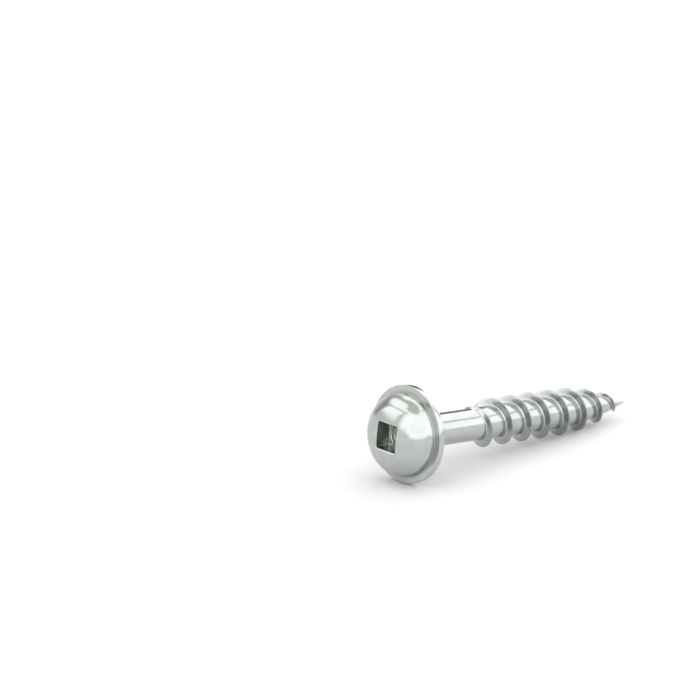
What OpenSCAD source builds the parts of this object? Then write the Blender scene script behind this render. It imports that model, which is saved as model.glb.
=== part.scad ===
/* [Head] */
// Distance from the bearing face to the point
screw_l = 31.75; // [29:0.25:35]
// Outside diameter of the flange under the dome
flange_d = 10.24; // [9.8:0.02:10.8]
// Thickness of the flange at its rim
flange_t = 0.8; // [0.6:0.05:1]
// Diameter of the dome where it meets the flange
dome_d = 8.62; // [8.2:0.02:9]
// Height of the head above the bearing face
head_h = 3.6; // [3.4:0.05:3.9]
// Radius of the flat crown of the dome
crown_r = 10; // [9:0.5:13]
// Radius of the rounded shoulder of the dome
shoulder_r = 2.2; // [1.9:0.05:2.3]
// Radius of the cove between the dome and the flange
cove_r = 0.18; // [0.1:0.01:0.25]

/* [Drive recess] */
// Width across the flats of the square recess
recess_w = 2.8; // [2.6:0.05:3]
// Depth of the square walls below the crown
recess_depth = 1.8; // [1.5:0.05:2]
// Diameter of the pit in the floor of the recess
pit_d = 2.1; // [1.8:0.05:2.3]
// Depth of the pit below the recess floor
pit_depth = 0.6; // [0.4:0.05:0.8]

/* [Shank] */
// Diameter of the plain shank and of the thread's core
shank_d = 3.44; // [3.3:0.02:3.6]
// Radius of the fillet between the bearing face and the shank
fillet_r = 0.2; // [0.1:0.05:0.3]
// Length over which the core narrows to the point
core_taper_l = 11.25; // [10.5:0.25:12]
// Radius left at the very point
point_r = 0.08; // [0.06:0.01:0.12]

/* [Thread] */
// Outside diameter of the thread
thread_d = 5.06; // [4.9:0.02:5.2]
// Axial advance of the thread in one turn
thread_pitch = 2.82; // [2.7:0.02:2.9]
// Distance from the bearing face to the first full pass along the underside
thread_start = 10.35; // [9.5:0.05:11]
// Length over which the crest narrows to the point
crest_taper_l = 10.75; // [10:0.25:11.25]
// Width of the flat crest
crest_w = 0.08; // [0.06:0.01:0.12]
// Axial run of the flank that faces the head
head_flank = 0.14; // [0.1:0.02:0.3]
// Axial run of the flank that faces the point
point_flank = 0.5; // [0.4:0.02:0.6]
// Axial run of the head flank where the thread begins, low and broad
start_flank = 0.75; // [0.6:0.05:0.9]
// Part of a turn in which the thread rises from the shank
rise_turn = 0.75; // [0.5:0.05:0.9]
// Part of a turn in which the thread fades into the point
fade_turn = 0.3; // [0.2:0.05:0.35]
// Sections of the thread in one turn
turn_steps = 48; // [36:12:60]

/* [Hidden] */
$fn = 96;
zinc = [0.78, 0.79, 0.77];
flange_r = flange_d / 2;
dome_r = dome_d / 2;
shank_r = shank_d / 2;
thread_r = thread_d / 2;

// Crown and shoulder arcs of the dome touch at one point without a kink
crown_z = crown_r - head_h;
shoulder_x = dome_r - shoulder_r;
shoulder_z = crown_z - sqrt(pow(crown_r - shoulder_r, 2) - pow(shoulder_x, 2));
join_x = shoulder_x * crown_r / (crown_r - shoulder_r);

// Height of the lowest thread passes, counted in whole turns from the first
last_turn = floor((screw_l - 1.6 - thread_start) / thread_pitch);

// How much the recess and the core reach past the faces that they cut or join
spare = 1;
sunk = 0.85;

// The screw lies on the flange's edge and on the first crest that the floor meets
rest_slopes = [
    for (turn = [0 : last_turn])
        (flange_r - crest_radius(pass_z(turn))) / (pass_z(turn) + crest_w / 2)
];
rest_tilt = atan(min(rest_slopes));
rest_z = flange_r * cos(rest_tilt);
rest_x = -(screw_l * cos(rest_tilt) + crown_z * cos(rest_tilt) - crown_r) / 2;

// Radius of an arc that leaves a cylinder smoothly and narrows to the point
function taper_arc(r, l) = (l * l + pow(r - point_r, 2)) / (2 * (r - point_r));

// Radius of such an outline at the distance z from the bearing face
function tapered(r, l, z) =
    let (arc = taper_arc(r, l), run = min(max(z - (screw_l - l), 0), l))
    r - arc + sqrt(arc * arc - run * run);

function core_radius(z) = tapered(shank_r, core_taper_l, z);
function crest_radius(z) = tapered(thread_r, crest_taper_l, z);
function pass_z(turn) = thread_start + thread_pitch * turn;

// Share of the full thread height at a turn, with a soft rise and a soft fade
function eased(x) = let (c = min(max(x, 0), 1)) c * c * (3 - 2 * c);
function height_share(turn) =
    eased((turn + rise_turn) / rise_turn) * eased((last_turn + fade_turn - turn) / fade_turn);

// Four corners of one thread section, from the head side over the crest to the point side
function section(turn) =
    let (
        z = pass_z(turn),
        share = height_share(turn),
        core = core_radius(z),
        foot = core * sunk,
        crest = core * 0.97 + (crest_radius(z) - core * 0.97) * share,
        rise = (crest_radius(z) - core) / (thread_r - shank_r),
        back = (head_flank + (start_flank - head_flank) * (turn < 1 ? 1 - share : 0)) * rise,
        front = point_flank * rise,
        deeper = (crest - foot) / max(crest - core, 0.3 * rise)
    )
    [
        [foot, z - crest_w / 2 - back * min(deeper, 1.6)],
        [crest, z - crest_w / 2],
        [crest, z + crest_w / 2],
        [foot, z + crest_w / 2 + front * min(deeper, 1.6)]
    ];

// Cross-section of the head, from the crown to the bearing face
module head_outline() {
    translate([0, -flange_t])
        square([flange_r, flange_t]);
    intersection() {
        translate([0, crown_z])
            circle(crown_r);
        translate([0, -head_h])
            square([join_x, head_h]);
    }
    intersection() {
        translate([shoulder_x, shoulder_z])
            circle(shoulder_r);
        translate([0, -head_h])
            square([dome_r, head_h]);
    }
    translate([0, shoulder_z])
        square([dome_r, -shoulder_z]);
    difference() {
        translate([dome_r, -flange_t - cove_r])
            square([cove_r, cove_r]);
        translate([dome_r + cove_r, -flange_t - cove_r])
            circle(cove_r);
    }
}

// Plain shank and tapered core in one outline, with the fillet under the head
module core_outline() {
    arc = taper_arc(shank_r, core_taper_l);
    translate([0, -spare])
        square([shank_r, screw_l - core_taper_l + spare]);
    intersection() {
        translate([shank_r - arc, screw_l - core_taper_l])
            circle(arc);
        translate([0, screw_l - core_taper_l])
            square([shank_r, core_taper_l]);
    }
    difference() {
        translate([shank_r, 0])
            square([fillet_r, fillet_r]);
        translate([shank_r + fillet_r, fillet_r])
            circle(fillet_r);
    }
}

// Square recess with a conical pit in its floor
module recess() {
    translate([-recess_w / 2, -recess_w / 2, -head_h - spare])
        cube([recess_w, recess_w, recess_depth + spare]);
    translate([0, 0, -head_h + recess_depth])
        cylinder(d1 = pit_d, d2 = 0.3, h = pit_depth);
}

// Right-hand thread as one closed ribbon, its foot sunk into the core
module thread() {
    count = round((rise_turn + last_turn + fade_turn) * turn_steps);
    points = [
        for (i = [0 : count], corner = section(i / turn_steps - rise_turn))
            let (angle = 360 * (i / turn_steps - rise_turn))
            [corner[0] * cos(angle), corner[0] * sin(angle), corner[1]]
    ];
    sides = [
        for (i = [0 : count - 1], j = [0 : 3])
            let (a = 4 * i + j, b = 4 * i + (j + 1) % 4)
            each [[a, b, b + 4], [a, b + 4, a + 4]]
    ];
    ends = [[3, 2, 1], [3, 1, 0], [4 * count, 4 * count + 1, 4 * count + 2], [4 * count, 4 * count + 2, 4 * count + 3]];
    polyhedron(points, concat(sides, ends));
}

// The whole screw, lying as it comes to rest with its point along +X
module screw() {
    color(zinc)
        translate([rest_x, 0, rest_z])
            rotate([0, 90 + rest_tilt, 0])
                union() {
                    difference() {
                        rotate_extrude()
                            head_outline();
                        recess();
                    }
                    rotate_extrude()
                        core_outline();
                    thread();
                }
}

screw();
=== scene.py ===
import bmesh
import bpy
import math
from mathutils import Matrix, Vector


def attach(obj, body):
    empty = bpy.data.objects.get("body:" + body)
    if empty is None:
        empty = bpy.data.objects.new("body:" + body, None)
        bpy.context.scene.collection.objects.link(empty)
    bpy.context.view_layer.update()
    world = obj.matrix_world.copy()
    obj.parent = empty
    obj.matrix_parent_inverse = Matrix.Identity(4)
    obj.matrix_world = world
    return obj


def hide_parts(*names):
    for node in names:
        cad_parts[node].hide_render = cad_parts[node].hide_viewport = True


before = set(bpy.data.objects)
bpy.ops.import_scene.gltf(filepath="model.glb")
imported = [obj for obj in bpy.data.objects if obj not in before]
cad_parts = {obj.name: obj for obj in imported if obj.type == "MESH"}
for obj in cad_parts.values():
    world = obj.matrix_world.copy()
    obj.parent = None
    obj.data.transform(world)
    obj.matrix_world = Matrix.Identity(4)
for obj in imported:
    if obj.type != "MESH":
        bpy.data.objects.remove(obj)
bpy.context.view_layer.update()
mm = 0.001
quarter = math.pi / 2


def feed(tree, socket, value):
    if isinstance(value, Wire):
        tree.links.new(value.socket, socket)
    else:
        socket.default_value = value


# node maths written as plain expressions
class Wire:
    def __init__(self, tree, socket):
        self.tree = tree
        self.socket = socket

    def math(self, operation, other=None, flipped=False):
        node = self.tree.nodes.new("ShaderNodeMath")
        node.operation = operation
        feed(self.tree, node.inputs[1 if flipped else 0], self)
        if other is not None:
            feed(self.tree, node.inputs[0 if flipped else 1], other)
        return Wire(self.tree, node.outputs[0])

    def __add__(self, other):
        return self.math("ADD", other)

    def __radd__(self, other):
        return self.math("ADD", other, flipped=True)

    def __sub__(self, other):
        return self.math("SUBTRACT", other)

    def __rsub__(self, other):
        return self.math("SUBTRACT", other, flipped=True)

    def __mul__(self, other):
        return self.math("MULTIPLY", other)

    def __rmul__(self, other):
        return self.math("MULTIPLY", other, flipped=True)

    def __truediv__(self, other):
        return self.math("DIVIDE", other)

    def atLeast(self, other):
        return self.math("MAXIMUM", other)

    def atMost(self, other):
        return self.math("MINIMUM", other)

    def held(self):
        return self.atLeast(0.0).atMost(1.0)

    def eased(self, low, high):  # 0 below low, 1 above high, smooth between them
        share = ((self - low) / (high - low)).held()
        return share * share * (3.0 - 2.0 * share)

    def between(self, rise, fall):  # 1 from the end of the rise to the start of the fall, 0 outside both
        return self.eased(*rise) * (1.0 - self.eased(*fall))


class Tree:
    def __init__(self, tree):
        self.tree = tree

    def add(self, kind, settings=None, **sockets):
        node = self.tree.nodes.new(kind)
        for name, value in (settings or {}).items():
            setattr(node, name, value)
        for name, value in sockets.items():
            feed(self.tree, node.inputs[name.replace("_", " ")], value)
        return node

    def wire(self, node, output=0):
        return Wire(self.tree, node.outputs[output])

    def joined(self, x, y, z):
        return self.wire(self.add("ShaderNodeCombineXYZ", X=x, Y=y, Z=z))

    def split(self, place):
        node = self.add("ShaderNodeSeparateXYZ", Vector=place)
        return [self.wire(node, index) for index in range(3)]

    def noise(self, place, pattern):  # a pattern is scale, detail and roughness
        names = ("Scale", "Detail", "Roughness")
        return self.wire(self.add("ShaderNodeTexNoise", Vector=place, **dict(zip(names, pattern))))

    def mixed(self, share, low, high):  # the colour low where the share is 0, high where it is 1
        node = self.add("ShaderNodeMix", {"data_type": "RGBA"}, Factor=share)
        feed(self.tree, node.inputs[6], low)
        feed(self.tree, node.inputs[7], high)
        return self.wire(node, 2)


def clearedTree(owner):
    owner.use_nodes = True
    owner.node_tree.nodes.clear()
    return Tree(owner.node_tree)


# sizes in millimetres: the solid's own, but for the rim, the dome's foot, the recess and the thread's start
screw = {
    "length": 31.75,
    "flangeRadius": 5.12,
    "flangeThickness": 0.7,
    "edgeRadius": 0.04,  # of both edges of the rim
    "domeRadius": 4.31,
    "headHeight": 3.6,
    "crownRadius": 10.0,
    "shoulderRadius": 2.2,
    "footDraft": 7.0,  # degrees by which the foot of the dome flares
    "coveRadius": 0.03,
    "filletRadius": 0.2,
    "coreRadius": 1.72,
    "coreTaper": 11.25,
    "coreCurve": 0.0127,  # the taper narrows the core by this times the square of its run
    "pointRadius": 0.08,
    "columns": 128,  # around the axis, a multiple of 8 so that the recess corners fall on columns
    "seamGap": 0.0006,  # points nearer than this are one
    "leastEdge": 0.0001,
    "sharpAngle": 38,  # degrees above which an edge is shaded as a crease
}
thread = {
    "Radius": 2.53,
    "Pitch": 2.82,
    "First Pass": 10.35,
    "Last Turn": 7.0,
    "Crest Taper": 10.75,
    "Crest Width": 0.08,
    "Crest Softness": 0.02,  # drop of the rounded crest
    "Crest Share": 0.2,  # the most that this drop takes of a low thread's height
    "Head Flank": 0.14,
    "Point Flank": 0.5,
    "Start Flank": 0.4,
    "Least Flank": 0.02,
    "Head Fillet": 0.2,  # share of the thread's height
    "Point Fillet": 0.35,
    "Rise Turn": 0.8,
    "Fade Turn": 0.3,
    "Start": 7.2,  # where the plain shank hands over to the ribbon
    "Tip Run": 0.02,  # past the point the ribbon closes on the axis within this
    "Merge Gap": 0.0004,
}


# how the screw lies: on the flange's edge and on the first crest that the floor meets
def taperedRadius(radius, taper, z):
    arc = (taper ** 2 + (radius - screw["pointRadius"]) ** 2) / (2 * (radius - screw["pointRadius"]))
    run = min(max(z - (screw["length"] - taper), 0), taper)
    return radius - arc + math.sqrt(arc * arc - run * run)


def restSlope(turn):
    z = thread["First Pass"] + thread["Pitch"] * turn
    drop = screw["flangeRadius"] - taperedRadius(thread["Radius"], thread["Crest Taper"], z)
    return drop / (z + thread["Crest Width"] / 2)


restTilt = math.atan(min(restSlope(turn) for turn in range(int(thread["Last Turn"]) + 1)))
crownCentre = screw["crownRadius"] - screw["headHeight"]
restX = -(screw["length"] * math.cos(restTilt) + crownCentre * math.cos(restTilt) - screw["crownRadius"]) / 2
restPlace = Vector((restX, 0, screw["flangeRadius"] * math.cos(restTilt)))
restMatrix = Matrix.Translation(restPlace) @ Matrix.Rotation(quarter + restTilt, 4, "Y")
print("rest tilt", round(math.degrees(restTilt), 3))

# head, recess and plain shank: rings of points that share their columns
recess = {
    "halfWidth": 1.4,
    "cornerRadius": 0.1,
    "floorDepth": 1.98,
    "draft": 0.03,  # how much narrower the walls are at the floor
    "lip": 0.15,  # width of the bevel round the mouth
    "bevel": ((0, 1), (0.08, 0.75), (0.4, 0.36), (0.75, 0.08), (1, 0)),  # shares of the lip, out and down
    "floorFillet": 0.07,
    "pitRadius": 1.2,
    "pitRim": 0.07,  # width of the chamfer round the pit
    "pitChamfer": ((0.9, 1), (0.56, 0.56), (0.24, 0.24), (0, 0)),  # shares of the rim, in and down
    "pitWallDepth": 0.3,
    "pitWallDraft": 0.05,
    "pitFootRound": 0.02,
    "pitDepth": 0.4,
    "pitTip": 0.07,  # how much deeper the very middle is
}
ringSteps = {"floorFillet": 4, "shoulder": 18, "cove": 4, "topEdge": 4, "lowEdge": 3, "filletUnderHead": 6}
ringShares = {
    "pitCone": (0.25, 0.6, 0.96),
    "floor": (0.1, 0.5, 1.0),
    "wall": (0.3, 0.6, 0.85),
    "crown": (0.12, 0.3, 0.5, 0.75, 1.0),
}
shankRows = (0.6, 2.5, 5.0, thread["Start"])

floorZ = recess["floorDepth"] - screw["headHeight"]
shoulderX = screw["domeRadius"] - screw["shoulderRadius"]
shoulderZ = crownCentre - math.sqrt((screw["crownRadius"] - screw["shoulderRadius"]) ** 2 - shoulderX ** 2)
joinX = shoulderX * screw["crownRadius"] / (screw["crownRadius"] - screw["shoulderRadius"])
joinAngle = math.asin(joinX / screw["crownRadius"])
draft = math.radians(screw["footDraft"])
wallX = shoulderX + screw["shoulderRadius"] * math.cos(draft)
wallZ = shoulderZ - screw["shoulderRadius"] * math.sin(draft)
footX = wallX + (-screw["flangeThickness"] - wallZ) * math.tan(draft)
coveX = footX + screw["coveRadius"] * (1 - math.sin(draft)) / math.cos(draft)


def squareReach(angle, half, corner):  # from the axis to the side of a square with rounded corners
    folded = math.radians(abs((math.degrees(angle) + 45) % 90 - 45))
    inner = half - corner
    if half * math.tan(folded) <= inner:
        return half / math.cos(folded)
    towards, across = math.cos(folded), math.sin(folded)
    return inner * (towards + across) + math.sqrt(max(corner ** 2 - (inner * (towards - across)) ** 2, 0))


def crownHeight(reach):
    return crownCentre - math.sqrt(screw["crownRadius"] ** 2 - reach ** 2)


def floorReach(angle):
    return squareReach(angle, recess["halfWidth"] - recess["draft"], recess["cornerRadius"])


def lipPoint(angle, across, down):
    reach = squareReach(angle, recess["halfWidth"], recess["cornerRadius"]) + recess["lip"] * across
    return reach, crownHeight(reach) + recess["lip"] * down


def wallPoint(angle, share):
    low = floorReach(angle)
    high, rim = lipPoint(angle, 0, 1)
    return low + (high - low) * share, floorZ + (rim - floorZ) * share


def crownPoint(angle, share):
    start = lipPoint(angle, 1, 0)[0]
    reach = start + (joinX - start) * share
    return reach, crownHeight(reach)


def steps(start, end, count):
    return [start + (end - start) * step / count for step in range(count + 1)]


def circle(reach, z):
    return lambda angle: (reach, z)


# each ring gives the distance from the axis and z at the angle of a column
def recessRings():
    mouth, rim, bend = recess["pitRadius"], recess["pitRim"], recess["floorFillet"]
    foot, wall = mouth - rim - recess["pitWallDraft"], recess["pitWallDepth"]
    rings = []
    for share in ringShares["pitCone"]:
        rings.append(circle(foot * share, floorZ + wall + (recess["pitDepth"] - wall) * (1 - share)))
    rings.append(circle(foot, floorZ + wall - recess["pitFootRound"]))
    for inwards, down in recess["pitChamfer"]:
        rings.append(circle(mouth - rim * inwards, floorZ + rim * down))
    for share in ringShares["floor"]:
        rings.append(lambda a, s=share: (mouth + (floorReach(a) - bend - mouth) * s, floorZ))
    for turn in steps(0, quarter, ringSteps["floorFillet"])[1:]:
        inset, lift = bend * (1 - math.sin(turn)), bend * (1 - math.cos(turn))
        rings.append(lambda a, i=inset, u=lift: (floorReach(a) - i, floorZ - u))
    for share in ringShares["wall"]:
        rings.append(lambda a, s=share: wallPoint(a, s))
    for outwards, down in recess["bevel"]:
        rings.append(lambda a, o=outwards, d=down: lipPoint(a, o, d))
    return rings


def domeRings():
    top, shoulder, cove = -screw["flangeThickness"], screw["shoulderRadius"], screw["coveRadius"]
    rings = []
    for share in ringShares["crown"]:
        rings.append(lambda a, s=share: crownPoint(a, s))
    for turn in steps(joinAngle, quarter - draft, ringSteps["shoulder"])[1:]:
        rings.append(circle(shoulderX + shoulder * math.sin(turn), shoulderZ - shoulder * math.cos(turn)))
    for turn in steps(draft, quarter, ringSteps["cove"]):
        rings.append(circle(coveX - cove * math.cos(turn), top - cove * (1 - math.sin(turn))))
    return rings


def flangeRings():
    top, flange = -screw["flangeThickness"], screw["flangeRadius"]
    edge = screw["edgeRadius"]
    rings = [circle(flange - 3 * edge, top)]
    for turn in steps(0, quarter, ringSteps["topEdge"]):
        rings.append(circle(flange - edge * (1 - math.sin(turn)), top + edge * (1 - math.cos(turn))))
    for turn in steps(0, quarter, ringSteps["lowEdge"]):
        rings.append(circle(flange - edge * (1 - math.cos(turn)), -edge * (1 - math.sin(turn))))
    rings.append(circle(flange - 4 * edge, 0))
    return rings


def shankRings():
    fillet, core = screw["filletRadius"], screw["coreRadius"]
    rings = [circle(core + 2 * fillet, 0)]
    for turn in steps(0, quarter, ringSteps["filletUnderHead"]):
        rings.append(circle(core + fillet * (1 - math.sin(turn)), fillet * (1 - math.cos(turn))))
    for z in shankRows:
        rings.append(circle(core, z))
    return rings


def ringMesh(apexZ, rings, columns):
    shape = bmesh.new()
    apex = shape.verts.new((0, 0, apexZ))
    rows = []
    for ring in rings:
        row = []
        for column in range(columns):
            angle = 2 * math.pi * column / columns
            reach, z = ring(angle)
            row.append(shape.verts.new((reach * math.cos(angle), reach * math.sin(angle), z)))
        rows.append(row)
    for column in range(columns):
        after = (column + 1) % columns
        shape.faces.new((apex, rows[0][column], rows[0][after]))
        for inner, outer in zip(rows, rows[1:]):
            shape.faces.new((inner[column], outer[column], outer[after], inner[after]))
    return shape


headRings = recessRings() + domeRings() + flangeRings() + shankRings()
screwShape = ringMesh(floorZ + recess["pitDepth"] + recess["pitTip"], headRings, screw["columns"])
print("head rings", len(screwShape.verts))

# threaded end: one ribbon, a pitch wide, wound down the core by Geometry Nodes
ribbonRows = {  # the rows of the ribbon that make each part of its outline, from one crest to the next
    "crestOut": (0, 3),
    "frontDown": (3, 5),
    "frontFillet": (5, 10),
    "core": (10, 13),
    "backFillet": (13, 18),
    "backUp": (18, 20),
    "crestIn": (20, 23),
}


def ribbonTree():
    tree = bpy.data.node_groups.new("threadRibbon", "GeometryNodeTree")
    tree.interface.new_socket("Geometry", in_out="OUTPUT", socket_type="NodeSocketGeometry")
    sizes = dict(thread)
    sizes.update({
        "Length": screw["length"],
        "Core Radius": screw["coreRadius"],
        "Core Taper": screw["coreTaper"],
        "Point Radius": screw["pointRadius"],
        "Steps": float(screw["columns"]),
        "First Turn": math.floor((thread["Start"] - thread["First Pass"]) / thread["Pitch"]) - 1.0,
        "Final Turn": float(math.ceil((screw["length"] - thread["First Pass"]) / thread["Pitch"])),
    })
    for name in sizes:
        tree.interface.new_socket(name, in_out="INPUT", socket_type="NodeSocketFloat")
    tree.interface.new_socket("Material", in_out="INPUT", socket_type="NodeSocketMaterial")
    nodes = Tree(tree)
    given = nodes.add("NodeGroupInput")

    def size(name):
        return nodes.wire(given, name)

    rowCount = ribbonRows["crestIn"][1]
    turns = size("Final Turn") - size("First Turn")
    grid = nodes.add("GeometryNodeMeshGrid", Size_X=turns, Size_Y=float(rowCount),
                     Vertices_X=(turns * size("Steps") + 1.0).math("ROUND"), Vertices_Y=rowCount + 1)
    gridX, gridY = nodes.split(nodes.wire(nodes.add("GeometryNodeInputPosition")))[:2]
    turn = gridX + turns * 0.5 + size("First Turn")
    row = gridY + rowCount * 0.5

    def done(part):  # 0 before the first row of a part, 1 from its last row on
        first, last = ribbonRows[part]
        return ((row - float(first)) / float(last - first)).held()

    def tapered(radius, taper, z):
        slim = radius - size("Point Radius")
        arc = (taper * taper + slim * slim) / (2.0 * slim)
        run = (z - size("Length") + taper).atLeast(0.0).atMost(taper)
        return radius - arc + (arc * arc - run * run).math("SQRT")

    def ridge(turnHere):
        z = size("First Pass") + size("Pitch") * turnHere
        crest = tapered(size("Radius"), size("Crest Taper"), z)
        core = tapered(size("Core Radius"), size("Core Taper"), z)
        rising = ((turnHere + size("Rise Turn")) / size("Rise Turn")).eased(0.0, 1.0)
        fading = ((size("Last Turn") + size("Fade Turn") - turnHere) / size("Fade Turn")).eased(0.0, 1.0)
        height = (crest - core) * rising * fading
        drop = (height * size("Crest Share")).atMost(size("Crest Softness"))
        full = (crest - core) / (size("Radius") - size("Core Radius"))
        headRun = (size("Head Flank") + (size("Start Flank") - size("Head Flank")) * (1.0 - rising)) * full
        pointRun = size("Point Flank") * full
        return {"drop": drop, "height": height - drop, "headRun": headRun, "pointRun": pointRun}

    def flank(height, run, fillet):  # one side of the ridge: a straight part and a fillet at its root
        leastHeight = 0.0001
        run = run.atLeast(size("Least Flank"))
        slope = height.math("ARCTAN2", run)
        bend = height * fillet
        filletTop = bend * (1.0 - slope.math("COSINE"))
        straight = run * (1.0 - filletTop / height.atLeast(leastHeight))
        side = {"slope": slope, "bend": bend, "straight": straight, "straightTop": height - filletTop}
        side["whole"] = straight + bend * slope.math("SINE")
        return side

    here, following = ridge(turn), ridge(turn + 1.0)
    front = flank(here["height"], here["pointRun"], size("Point Fillet"))
    back = flank(following["height"], following["headRun"], size("Head Fillet"))
    crestOut = done("crestOut") * quarter
    crestIn = (1.0 - done("crestIn")) * quarter
    frontDown, backUp = done("frontDown"), done("backUp")
    frontBend = front["slope"] * (1.0 - done("frontFillet"))
    backBend = back["slope"] * done("backFillet")
    halfCrest = size("Crest Width") * 0.5
    coreWidth = size("Pitch") - size("Crest Width") - front["whole"] - back["whole"]
    along = (halfCrest * (crestOut.math("SINE") + 1.0 - crestIn.math("SINE"))
             + front["straight"] * frontDown
             + front["bend"] * (front["slope"].math("SINE") - frontBend.math("SINE"))
             + coreWidth * done("core")
             + back["bend"] * backBend.math("SINE")
             + back["straight"] * backUp)
    rise = (here["drop"] * crestOut.math("COSINE")
            + following["drop"] * crestIn.math("COSINE")
            + front["straightTop"] * (1.0 - frontDown)
            + front["bend"] * (1.0 - frontBend.math("COSINE"))
            + back["bend"] * (1.0 - backBend.math("COSINE"))
            + back["straightTop"] * backUp)
    rawZ = size("First Pass") + size("Pitch") * turn + along
    z = rawZ.atLeast(size("Start")).atMost(size("Length"))
    closed = 1.0 - ((rawZ - size("Length")) / size("Tip Run")).held()
    reach = (tapered(size("Core Radius"), size("Core Taper"), z) + rise) * closed
    angle = turn * (2.0 * math.pi)
    place = nodes.joined(reach * angle.math("COSINE"), reach * angle.math("SINE"), z)
    bent = nodes.add("GeometryNodeSetPosition", Geometry=nodes.wire(grid), Position=place)
    merged = nodes.add("GeometryNodeMergeByDistance", Geometry=nodes.wire(bent), Distance=size("Merge Gap"))
    real = nodes.add("GeometryNodeRealizeInstances", Geometry=nodes.wire(merged))
    painted = nodes.add("GeometryNodeSetMaterial", Geometry=nodes.wire(real), Material=size("Material"))
    final = nodes.add("NodeGroupOutput")
    feed(tree, final.inputs[0], nodes.wire(painted))
    return tree, sizes


def ribbonMesh(material):
    tree, sizes = ribbonTree()
    holder = bpy.data.objects.new("threadHolder", bpy.data.meshes.new("threadHolder"))
    bpy.context.collection.objects.link(holder)
    winding = holder.modifiers.new("winding", "NODES")
    winding.node_group = tree
    for socket in tree.interface.items_tree:
        if socket.in_out == "INPUT":
            winding[socket.identifier] = material if socket.name == "Material" else sizes[socket.name]
    evaluated = holder.evaluated_get(bpy.context.evaluated_depsgraph_get())
    mesh = bpy.data.meshes.new_from_object(evaluated)
    holder.modifiers.remove(winding)
    bpy.data.objects.remove(holder)
    return mesh


# bright zinc plating; places are millimetres from the axis or along it
zinc = {
    "paleColour": (0.476, 0.496, 0.482, 1),
    "deepColour": (0.42, 0.438, 0.42, 1),
    # painted shade: the recess is given a darker colour than the plating
    "recessShadeColour": (0.33, 0.35, 0.315, 1),
    # partly the rolled flanks' own duller tone, partly painted shade for their darker look
    "flankGrainAndShadeColour": (0.42, 0.44, 0.425, 1),
    # painted shade: the groove round the dome's foot is given a darker, olive colour
    "grooveShadeColour": (0.37, 0.387, 0.343, 1),
    "roughness": 0.08,
    "roughnessSpread": 0.06,
    "flankRoughness": 0.04,  # what the rolled flanks add
    "grooveRoughness": 0.15,
    "recessRoughness": 0.12,
    "cloudNoise": (0.9, 4.0, 0.55),
    "cloudRange": (0.35, 0.65),
    "cloudShare": 0.7,  # of the tint, the rest is flecks
    "fleckNoise": (9.0, 3.0, 0.6),
    "grainNoise": (26.0, 2.0, 0.5),
    "lineNoise": (1.0, 2.0, 0.6),
    "rolledStretch": (0.8, 22.0),  # scale around the axis and away from it
    "rolledRange": (0.2, 0.5),
    "streakStretch": (14.0, 0.12),  # scale around the axis and along it
    "streakStart": (-0.1, 0.3),
    "fineShare": 0.4,  # of the grain and of the flecks in the bump
    "lineShare": 1.5,  # of the streaks and the rolled lines in the bump
    "rolledShare": 1.5,
    "bumpStrength": 0.15,
    "bumpHeight": 0.02,
    "threadEdge": (0.1, 0.2),  # above the core
    "threadStart": (6.0, 7.0),
    "squareEdge": (recess["halfWidth"], recess["halfWidth"] + 0.02),
    "recessMouth": (-3.42, -3.25),
    "recessEnd": (-1.0, -0.9),
    "floorEdges": ((floorZ - 0.05, floorZ - 0.01), (floorZ + 0.14, floorZ + 0.18)),
    "grooveReach": ((footX - 0.02, footX + 0.01), (4.5, 4.7)),
    "grooveDepth": ((-0.9, -0.8), (-0.6, -0.5)),
}


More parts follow.
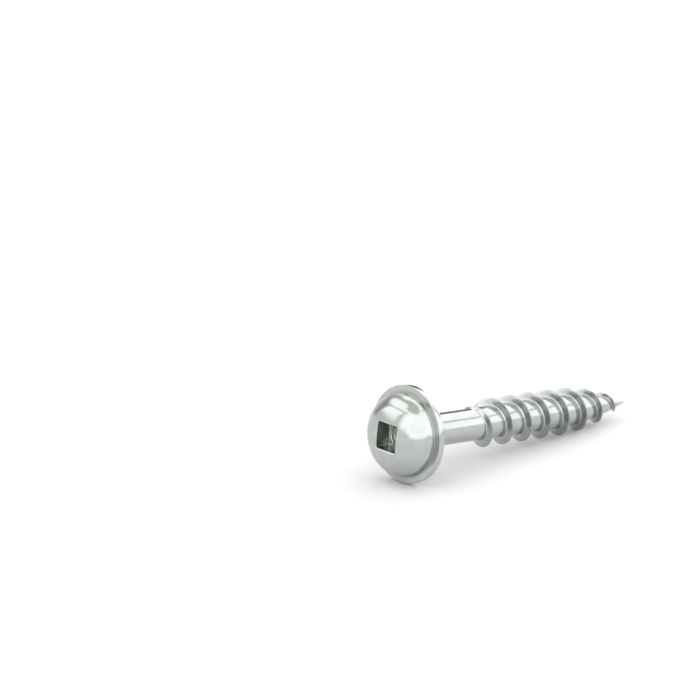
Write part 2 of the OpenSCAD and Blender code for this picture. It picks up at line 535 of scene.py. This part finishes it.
def zincMaterial():
    material = bpy.data.materials.new("brightZinc")
    nodes = clearedTree(material)
    coords = nodes.add("ShaderNodeTexCoord")
    lean = -(quarter + restTilt)
    upright = nodes.add("ShaderNodeMapping", {"vector_type": "POINT"}, Vector=nodes.wire(coords, "Object"),
                        Location=Matrix.Rotation(lean, 4, "Y") @ (-restPlace), Rotation=(0, lean, 0),
                        Scale=(1 / mm, 1 / mm, 1 / mm))
    local = nodes.wire(upright)  # millimetres, z along the screw
    x, y, z = nodes.split(local)
    cloudy = nodes.noise(local, zinc["cloudNoise"]).eased(*zinc["cloudRange"])
    flecked = nodes.noise(local, zinc["fleckNoise"])
    grain = nodes.noise(local, zinc["grainNoise"])

    # where the thread, the recess and the groove round the dome's foot are; the recess and the groove get
    # painted shade
    reach = (x * x + y * y).math("SQRT")
    taperRun = (z - (screw["length"] - screw["coreTaper"])).atLeast(0.0)
    aboveCore = reach - screw["coreRadius"] + taperRun * taperRun * screw["coreCurve"]
    overCore = aboveCore.eased(*zinc["threadEdge"]) * z.eased(*zinc["threadStart"])
    inColumn = 1.0 - x.math("ABSOLUTE").eased(*zinc["squareEdge"])
    inSquare = inColumn * (1.0 - y.math("ABSOLUTE").eased(*zinc["squareEdge"]))
    onFloorEdges = z.between(*zinc["floorEdges"])
    inRecessShade = inSquare * z.between(zinc["recessMouth"], zinc["recessEnd"]) * (1.0 - onFloorEdges)
    inGrooveShade = reach.between(*zinc["grooveReach"]) * z.between(*zinc["grooveDepth"])

    def lines(around, deep):
        return nodes.noise(nodes.joined(x / reach * around, y / reach * around, deep), zinc["lineNoise"])

    rolled = lines(zinc["rolledStretch"][0], reach * zinc["rolledStretch"][1])
    streaks = lines(zinc["streakStretch"][0], z * zinc["streakStretch"][1])

    tintShare = (cloudy * zinc["cloudShare"] + flecked * (1 - zinc["cloudShare"])).held()
    tint = nodes.mixed(tintShare, zinc["deepColour"], zinc["paleColour"])
    # the flanks' colour: rolled-line texture and painted shade
    tint = nodes.mixed(overCore * rolled.eased(*zinc["rolledRange"]), tint, zinc["flankGrainAndShadeColour"])
    # painted shade darkens the groove round the dome's foot
    tint = nodes.mixed(inGrooveShade, tint, zinc["grooveShadeColour"])
    # painted shade darkens the recess
    tint = nodes.mixed(inRecessShade, tint, zinc["recessShadeColour"])
    roughness = (zinc["roughness"] + zinc["roughnessSpread"] * (cloudy * 0.5 + flecked * 0.5)
                 + zinc["recessRoughness"] * inRecessShade
                 + zinc["flankRoughness"] * overCore
                 + zinc["grooveRoughness"] * inGrooveShade)
    lined = streaks * z.eased(*zinc["streakStart"]) * (1.0 - overCore)
    lined = lined + rolled * overCore * zinc["rolledShare"]
    height = grain * zinc["fineShare"] + flecked * zinc["fineShare"] + lined * zinc["lineShare"]
    bump = nodes.add("ShaderNodeBump", Height=height, Strength=zinc["bumpStrength"],
                     Distance=zinc["bumpHeight"] * mm)
    shader = nodes.add("ShaderNodeBsdfPrincipled", Base_Color=tint, Metallic=1.0, Roughness=roughness,
                       Normal=nodes.wire(bump))
    nodes.add("ShaderNodeOutputMaterial", Surface=nodes.wire(shader))
    return material


brightZinc = zincMaterial()

# head and ribbon become one closed shape, laid on the floor
ribbon = ribbonMesh(brightZinc)
print("ribbon faces", len(ribbon.polygons))
screwShape.from_mesh(ribbon)
bmesh.ops.remove_doubles(screwShape, verts=screwShape.verts, dist=screw["seamGap"])
bmesh.ops.dissolve_degenerate(screwShape, dist=screw["leastEdge"], edges=screwShape.edges)
openEdges = [edge for edge in screwShape.edges if not edge.is_manifold]
print("open edges", len(openEdges))
bmesh.ops.recalc_face_normals(screwShape, faces=screwShape.faces)
bmesh.ops.transform(screwShape, matrix=Matrix.Scale(mm, 4) @ restMatrix, verts=screwShape.verts)
body = bpy.data.meshes.new("pocketScrew")
screwShape.to_mesh(body)
screwShape.free()
body.materials.clear()
body.materials.append(brightZinc)
for polygon in body.polygons:
    polygon.use_smooth = True
body.set_sharp_from_angle(angle=math.radians(screw["sharpAngle"]))
pocketScrew = bpy.data.objects.new("pocketScrew", body)
bpy.context.collection.objects.link(pocketScrew)
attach(pocketScrew, "root")
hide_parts("screw")
print("screw faces", len(body.polygons))

# white table, studio light and camera
studio = {
    "floorSize": 6.0,
    "floorColour": (0.667, 0.667, 0.672, 1),
    "hazeColour": (0.67367, 0.67367, 0.67872, 1),
    "hazeNoise": (3.0, 1.0, 0.5),
    "floorRoughness": 0.6,
    "floorShine": 0.2,
    "sky": 2.08,
    "lowSky": 1.05,
    "skyStart": (-1.0, 9.0),  # degrees above the horizon between which the low sky gives way
    "dimTone": (0.985, 1.0, 0.94, 1),
    "brightTone": (0.988, 0.984, 1.0, 1),
    "toneRange": (0.7, 1.7),
    "cameraPlace": (-0.312007, -0.315161, 0.155091),
    "cameraAim": (0.0108375, 0.0361705, 0.0),
    "cameraRoll": 0.27,
    "lens": 229.53,
    "sensorWidth": 36,
}
# a round patch of ceiling, in degrees
ceiling = {"azimuth": 20, "elevation": 84, "fullTo": 22, "goneFrom": 31, "brightness": 1.0}
# boxes of light and shade round the table, each over the ones before it, in degrees:
# azimuth, elevation, half width, half height, lean and softness, and then the brightness
softBoxes = {
    "bigPane": (122, 57, 36, 23, 0, 6, 2.08),
    "farWall": (85, 14, 32, 19, 0, 7, 0.55),
    "wallGlow": (78, 7, 17, 10, 0, 7, 0.85),
    "darkCorner": (40, 11, 9, 13, 0, 3, 0.22),
    "leftGap": (68, 46, 11, 20, -12, 7, 0.85),
    "nearHorizon": (135, 3, 20, 6, 0, 4, 1.0),
    "paneGap": (150, 45, 40, 3.5, 22, 3, 1.1),
    "rearGap": (160, 28, 26, 3.5, 62, 3, 1.05),
    "thinGap": (337.5, 37, 3.5, 16, 0, 2, 0.85),
}


def floorMaterial():
    material = bpy.data.materials.new("whiteTable")
    nodes = clearedTree(material)
    coords = nodes.add("ShaderNodeTexCoord")
    haze = nodes.noise(nodes.wire(coords, "Object"), studio["hazeNoise"])
    tint = nodes.mixed(haze, studio["floorColour"], studio["hazeColour"])
    shader = nodes.add("ShaderNodeBsdfPrincipled", Base_Color=tint, Roughness=studio["floorRoughness"],
                       Specular_IOR_Level=studio["floorShine"])
    nodes.add("ShaderNodeOutputMaterial", Surface=nodes.wire(shader))
    return material


def studioWorld():
    world = bpy.data.worlds.new("softStudio")
    nodes = clearedTree(world)
    coords = nodes.add("ShaderNodeTexCoord")
    x, y, z = nodes.split(nodes.wire(coords, "Generated"))
    degrees = 180 / math.pi
    height = z.atLeast(-1.0).atMost(1.0).math("ARCSINE") * degrees

    def ceilingMask():
        turn, lift = math.radians(ceiling["azimuth"]), math.radians(ceiling["elevation"])
        full, gone = math.radians(ceiling["fullTo"]), math.radians(ceiling["goneFrom"])
        level = math.cos(lift)
        near = x * (math.cos(turn) * level) + y * (math.sin(turn) * level) + z * math.sin(lift)
        return near.eased(math.cos(gone), math.cos(full))

    def boxMask(azimuth, elevation, halfWidth, halfHeight, lean, soft):
        turn, tip = math.radians(azimuth), math.radians(lean)
        towards = x * math.cos(turn) + y * math.sin(turn)
        sideways = (y * math.cos(turn) - x * math.sin(turn)).math("ARCTAN2", towards) * degrees
        upwards = height - elevation
        along = (sideways * math.cos(tip) + upwards * math.sin(tip)).math("ABSOLUTE")
        across = (upwards * math.cos(tip) - sideways * math.sin(tip)).math("ABSOLUTE")
        inWidth = 1.0 - along.eased(halfWidth - soft, halfWidth + soft)
        return inWidth * (1.0 - across.eased(max(halfHeight - soft, 0), halfHeight + soft))

    brightness = studio["lowSky"] + (studio["sky"] - studio["lowSky"]) * height.eased(*studio["skyStart"])
    patches = [(ceilingMask(), ceiling["brightness"])]
    patches += [(boxMask(*box[:-1]), box[-1]) for box in softBoxes.values()]
    for mask, value in patches:
        brightness = brightness * (1.0 - mask) + mask * value
    tone = nodes.mixed(brightness.eased(*studio["toneRange"]), studio["dimTone"], studio["brightTone"])
    glow = nodes.add("ShaderNodeBackground", Color=tone, Strength=brightness)
    nodes.add("ShaderNodeOutputWorld", Surface=nodes.wire(glow))
    return world


floorMesh = bpy.data.meshes.new("tableTop")
half = studio["floorSize"] / 2
corners = [(-half, -half, 0), (half, -half, 0), (half, half, 0), (-half, half, 0)]
floorMesh.from_pydata(corners, [], [(0, 1, 2, 3)])
floorMesh.materials.append(floorMaterial())
floor = bpy.data.objects.new("tableTop", floorMesh)
bpy.context.collection.objects.link(floor)

bpy.context.scene.world = studioWorld()
bpy.context.scene.view_settings.view_transform = "Standard"

lens = bpy.data.cameras.new("photoCamera")
lens.sensor_width = studio["sensorWidth"]
lens.lens = studio["lens"]
lens.clip_start, lens.clip_end = 0.01, 20
camera = bpy.data.objects.new("photoCamera", lens)
place, aim = Vector(studio["cameraPlace"]), Vector(studio["cameraAim"])
turned = (aim - place).to_track_quat("-Z", "Y").to_matrix().to_4x4()
roll = Matrix.Rotation(math.radians(studio["cameraRoll"]), 4, "Z")
camera.matrix_world = Matrix.Translation(place) @ turned @ roll
bpy.context.collection.objects.link(camera)
bpy.context.scene.camera = camera
print("stage set")
